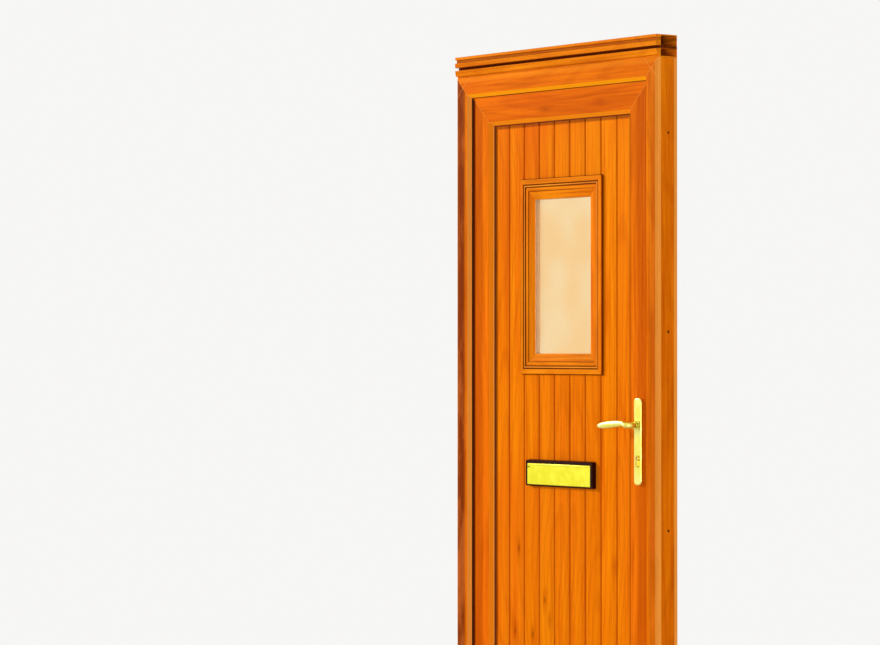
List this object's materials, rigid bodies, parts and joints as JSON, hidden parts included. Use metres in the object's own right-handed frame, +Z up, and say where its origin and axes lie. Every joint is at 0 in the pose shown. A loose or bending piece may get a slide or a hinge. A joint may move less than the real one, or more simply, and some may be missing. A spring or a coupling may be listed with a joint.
{
  "type": "panelled front door with frame",
  "caption": "Inward opening front door with grooved panel, small window, letterplate, lever handles and lock, hung in its outer frame with a low threshold.",
  "frame": {"origin": "underside of the threshold, at the middle of the frame's width and depth", "axes": "+X to the right seen from outside, +Y into the house, +Z up"},
  "size_m": [0.92, 0.172, 2.121],
  "materials": {
    "foiled_profile": "golden oak foil",
    "foiled_panel": "golden oak foil",
    "steel": "zinc plated",
    "fasteners": "zinc plated",
    "aluminium": "mill finish",
    "seal": "matt",
    "packer_plastic": "matt",
    "glazing": "clear",
    "black_surround": "satin",
    "gold": "polished gold",
    "cylinder_brass": "satin"
  },
  "bodies": {
    "frame": {"frame_head": "foiled_profile", "hinge_jamb": "foiled_profile", "lock_jamb": "foiled_profile", "frame_steel": "steel", "threshold": "aluminium", "lower_head_extension": "foiled_profile", "upper_head_extension": "foiled_profile", "frame_gasket": "seal", "hinge_pins": "fasteners", "keep_screws": "fasteners", "centre_keep": "steel", "hook_keeps": "steel", "lower_hinge_frame_leaf": "gold", "middle_hinge_frame_leaf": "gold", "upper_hinge_frame_leaf": "gold"},
    "leaf": {"top_rail": "foiled_profile", "bottom_rail": "foiled_profile", "hinge_stile": "foiled_profile", "lock_stile": "foiled_profile", "sash_steel": "steel", "sash_gasket": "seal", "bottom_seal": "seal", "panel_gaskets": "seal", "glazing_packers": "packer_plastic", "infill_panel": "foiled_panel", "spacer_bar": "aluminium", "outer_pane": "glazing", "inner_pane": "glazing", "outer_moulding": "foiled_panel", "inner_moulding": "foiled_panel", "letter_sleeve": "packer_plastic", "letterplate_bolts": "fasteners", "letterplate_frame": "black_surround", "inner_letterplate_frame": "black_surround", "lock_case": "steel", "lock_faceplate": "steel", "hook_cases": "steel", "handle_bolts": "fasteners", "outer_backplate": "gold", "inner_backplate": "gold", "cylinder_body": "cylinder_brass", "top_bead": "foiled_profile", "bottom_bead": "foiled_profile", "hinge_side_bead": "foiled_profile", "lock_side_bead": "foiled_profile", "lower_hinge_sash_leaf": "gold", "middle_hinge_sash_leaf": "gold", "upper_hinge_sash_leaf": "gold"},
    "levers": {"outer_lever": "gold", "inner_lever": "gold", "spindle": "steel", "lock_hub": "steel"},
    "latch": {"latch_bolt": "steel"},
    "rail": {"drive_rail": "steel"},
    "bolt": {"deadbolt": "steel"},
    "hook_low": {"lower_hook": "steel"},
    "hook_high": {"upper_hook": "steel"},
    "flap": {"letter_flap": "gold"},
    "draught_flap": {"inner_letter_flap": "gold"},
    "plug": {"cylinder_plug": "cylinder_brass"}
  },
  "joints": [
    {"name": "door_swing", "type": "hinge", "parent": "frame", "child": "leaf", "pos_m": [-0.435, 0.0605, 1.05], "axis": [0, 0, 1], "range_deg": [0, 95]},
    {"name": "lever_turn", "type": "hinge", "parent": "leaf", "child": "levers", "pos_m": [0.363, 0.016, 1.04], "axis": [0, -1, 0], "range_deg": [-40, 40], "stiffness_Nm_per_rad": 6, "springref_deg": -3.44},
    {"name": "latch_slide", "type": "slide", "parent": "leaf", "child": "latch", "axis": [1, 0, 0], "range_m": [0, 0.016]},
    {"name": "rail_slide", "type": "slide", "parent": "leaf", "child": "rail", "axis": [0, 0, 1], "range_m": [0, 0.02]},
    {"name": "deadbolt_slide", "type": "slide", "parent": "leaf", "child": "bolt", "axis": [1, 0, 0], "range_m": [0, 0.02]},
    {"name": "lower_hook_turn", "type": "hinge", "parent": "leaf", "child": "hook_low", "pos_m": [0.39, 0.01, 0.42], "axis": [0, 1, 0], "range_deg": [0, 90]},
    {"name": "upper_hook_turn", "type": "hinge", "parent": "leaf", "child": "hook_high", "pos_m": [0.39, 0.01, 1.62], "axis": [0, 1, 0], "range_deg": [0, 90]},
    {"name": "flap_swing", "type": "hinge", "parent": "leaf", "child": "flap", "pos_m": [0, -0.013, 0.918], "axis": [-1, 0, 0], "range_deg": [0, 90], "stiffness_Nm_per_rad": 0.1, "springref_deg": -17.19},
    {"name": "inner_flap_swing", "type": "hinge", "parent": "leaf", "child": "draught_flap", "pos_m": [0, 0.035, 0.918], "axis": [1, 0, 0], "range_deg": [0, 90], "stiffness_Nm_per_rad": 0.1, "springref_deg": -17.19},
    {"name": "cylinder_turn", "type": "hinge", "parent": "leaf", "child": "plug", "pos_m": [0.363, 0.016, 0.948], "axis": [0, 1, 0], "continuous": true}
  ],
  "couplings": [
    {"joint": "deadbolt_slide", "follows": "rail_slide", "ratio": 1},
    {"joint": "lower_hook_turn", "follows": "rail_slide", "rad_per_m": 78.5},
    {"joint": "upper_hook_turn", "follows": "rail_slide", "rad_per_m": 78.5}
  ]
}
